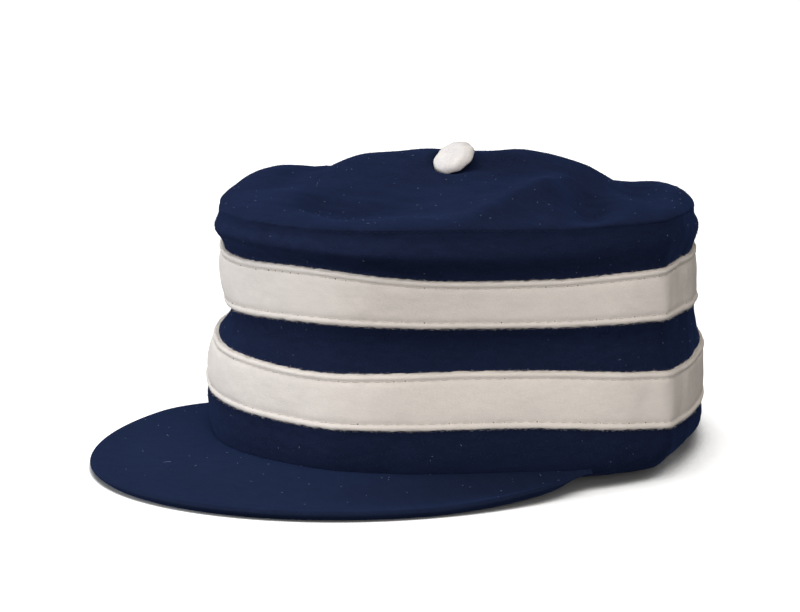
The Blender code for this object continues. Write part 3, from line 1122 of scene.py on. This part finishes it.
class CAP_OT_fluff(bpy.types.Operator):
    """Stray fibres of the brushed wool, and pale lint"""

    bl_idname = "cap.fluff"
    bl_label = "Fluff"

    def execute(self, context):
        sizes = context.scene.cap_sizes
        settle(make_edge_fluff(), None)
        settle(make_nap(), None)
        settle(make_lint(sizes), None)
        return {"FINISHED"}


# ---------------------------------------------------------------- stage


CAMERA_TURN = 36.0  # degrees from straight in front towards the wearer's left
CAMERA_AWAY = 1142.0
CAMERA_HEIGHT = 260.0
CAMERA_AIM = (-20.0, 43.5)  # beside the crown's middle, and above the floor
CAMERA_ROLL = 1.3
CAMERA_LENS = 149.9

LIGHT_SIZE = 0.8
LIGHT_AIM = (0, 0, 0.05)
# Soft lamps: metres to the camera's right, up and towards it, watts, colour.
LIGHTS = (
    ("left", -1.65, 0.42, 0.0, 24, "F3F8FF"),
    ("high_left", -0.62, 1.55, -0.36, 12, "F6FAFF"),
    ("front", 0.3, 0.28, 1.62, 16.5, "FCFDFF"),
    ("high_right", 0.3, 1.55, 0.55, 7, "FFFBF6"),
)
SKY_FROM = (0.42, -0.57, 0.71)  # the way to the brightest part of the soft light all round
SKY_STRENGTH = (0.05, 0.54)
FLOOR_SHADE = 150.0  # how far from the cap the floor's glow is dimmed: the reach of its painted shadow
FLOOR_OPEN = (0.46, 0.66)  # how open to the air the floor is where its painted shadow is darkest and where it glows plain white


def make_camera():
    turn = math.radians(CAMERA_TURN)
    middle = Vector((*CROWN_AT, 0))
    spot = middle + Vector((math.sin(turn), -math.cos(turn), 0)) * CAMERA_AWAY
    spot.z = CAMERA_HEIGHT
    aim = middle + Vector((math.cos(turn), math.sin(turn), 0)) * CAMERA_AIM[0]
    aim.z = CAMERA_AIM[1]
    camera = bpy.data.cameras.new("camera")
    camera.lens = CAMERA_LENS
    camera.sensor_width = 36.0
    camera.clip_end = 20.0
    holder = bpy.data.objects.new("camera", camera)
    bpy.context.scene.collection.objects.link(holder)
    facing = (aim - spot).to_track_quat("-Z", "Y").to_matrix().to_4x4()
    rolled = facing @ Matrix.Rotation(math.radians(CAMERA_ROLL), 4, "Z")
    holder.matrix_world = Matrix.Translation(spot * MM) @ rolled
    bpy.context.scene.camera = holder
    return facing


def add_light(facing, name, right, up, back, power, colour):
    """A square soft light, placed by metres to the camera's right, up and towards it."""
    light = bpy.data.lights.new(name, "AREA")
    light.size = LIGHT_SIZE
    light.energy = power
    light.color = linear(colour)
    holder = bpy.data.objects.new(name, light)
    bpy.context.scene.collection.objects.link(holder)
    side = facing.to_3x3() @ Vector((1, 0, 0))
    near = (facing.to_3x3() @ Vector((0, 0, 1))).to_2d().to_3d().normalized()
    spot = side * right + Vector((0, 0, up)) + near * back
    holder.location = spot
    holder.rotation_euler = (Vector(LIGHT_AIM) - spot).to_track_quat("-Z", "Y").to_euler()


def make_world(scene):
    """Soft warm light from all round, brightest high up in front."""
    world = bpy.data.worlds.new("studio")
    world.use_nodes = True
    tree = world.node_tree
    where = add_node(tree, "ShaderNodeTexCoord").outputs["Generated"]
    facing = add_node(
        tree, "ShaderNodeVectorMath", {"operation": "DOT_PRODUCT", 1: SKY_FROM}, {0: where}
    )
    least, most = SKY_STRENGTH
    strength = add_node(
        tree,
        "ShaderNodeMapRange",
        {"From Min": 0.0, "From Max": 1.0, "To Min": least, "To Max": most},
        {"Value": facing.outputs["Value"]},
    )
    background = tree.nodes["Background"]
    background.inputs["Color"].default_value = (*linear("FFFAF5"), 1)
    tree.links.new(strength.outputs["Result"], background.inputs["Strength"])
    scene.world = world


def make_floor():
    """Pale paper, lit and made to glow plain white; its glow is dimmed beside what stands on it, which
    paints a soft shadow there.
    """
    bpy.ops.mesh.primitive_plane_add(size=12)
    floor = bpy.context.object
    floor.name = "floor"
    look = bpy.data.materials.new("pale_paper_floor")
    look.use_nodes = True
    tree = look.node_tree
    shader = tree.nodes["Principled BSDF"]
    shader.inputs["Base Color"].default_value = (*linear("A8A8A8"), 1)
    shader.inputs["Roughness"].default_value = 0.95
    shader.inputs["Specular IOR Level"].default_value = 0.0
    # the floor glows, less where ambient occlusion finds it shut in beside the cap: a painted shadow
    shader.inputs["Emission Color"].default_value = (1, 1, 1, 1)
    open_to_air = add_node(
        tree, "ShaderNodeAmbientOcclusion", {"samples": 8, "Distance": FLOOR_SHADE * MM}
    )
    darkest, white = FLOOR_OPEN
    bright = add_node(
        tree,
        "ShaderNodeMapRange",
        {"From Min": darkest, "From Max": white, "To Min": 0.0, "To Max": 1.0},
        {"Value": open_to_air.outputs["AO"]},
    )
    tree.links.new(bright.outputs["Result"], shader.inputs["Emission Strength"])
    floor.data.materials.append(look)
    floor.visible_diffuse = False
    floor.visible_glossy = False
    return floor


class CAP_OT_stage(bpy.types.Operator):
    """Pale floor, soft studio light and camera"""

    bl_idname = "cap.stage"
    bl_label = "Stage"

    def execute(self, context):
        scene = context.scene
        make_floor()
        make_world(scene)
        scene.view_settings.view_transform = "Standard"
        facing = make_camera()
        for light in LIGHTS:
            add_light(facing, *light)
        return {"FINISHED"}


OPERATORS = (
    CAP_OT_wall,
    CAP_OT_top,
    CAP_OT_stripes,
    CAP_OT_stitches,
    CAP_OT_visor,
    CAP_OT_button,
    CAP_OT_fluff,
    CAP_OT_stage,
)


class CAP_PT_panel(bpy.types.Panel):
    """Lists the cap's sizes, colours and pieces"""

    bl_idname = "CAP_PT_panel"
    bl_label = "Pillbox Cap"
    bl_space_type = "VIEW_3D"
    bl_region_type = "UI"
    bl_category = "Cap"

    def draw(self, context):
        for group in (context.scene.cap_sizes, context.scene.cap_colours):
            for name in group.__annotations__:
                self.layout.prop(group, name)
        for operator in OPERATORS:
            self.layout.operator(operator.bl_idname)


CLASSES = (CapSizes, CapColours, *OPERATORS, CAP_PT_panel)


def register():
    for item in CLASSES:
        bpy.utils.register_class(item)
    bpy.types.Scene.cap_sizes = PointerProperty(type=CapSizes)
    bpy.types.Scene.cap_colours = PointerProperty(type=CapColours)


def unregister():
    del bpy.types.Scene.cap_colours
    del bpy.types.Scene.cap_sizes
    for item in reversed(CLASSES):
        bpy.utils.unregister_class(item)


def main():
    register()
    for operator in OPERATORS:
        group, name = operator.bl_idname.split(".")
        getattr(getattr(bpy.ops, group), name)()


if __name__ == "__main__":
    main()
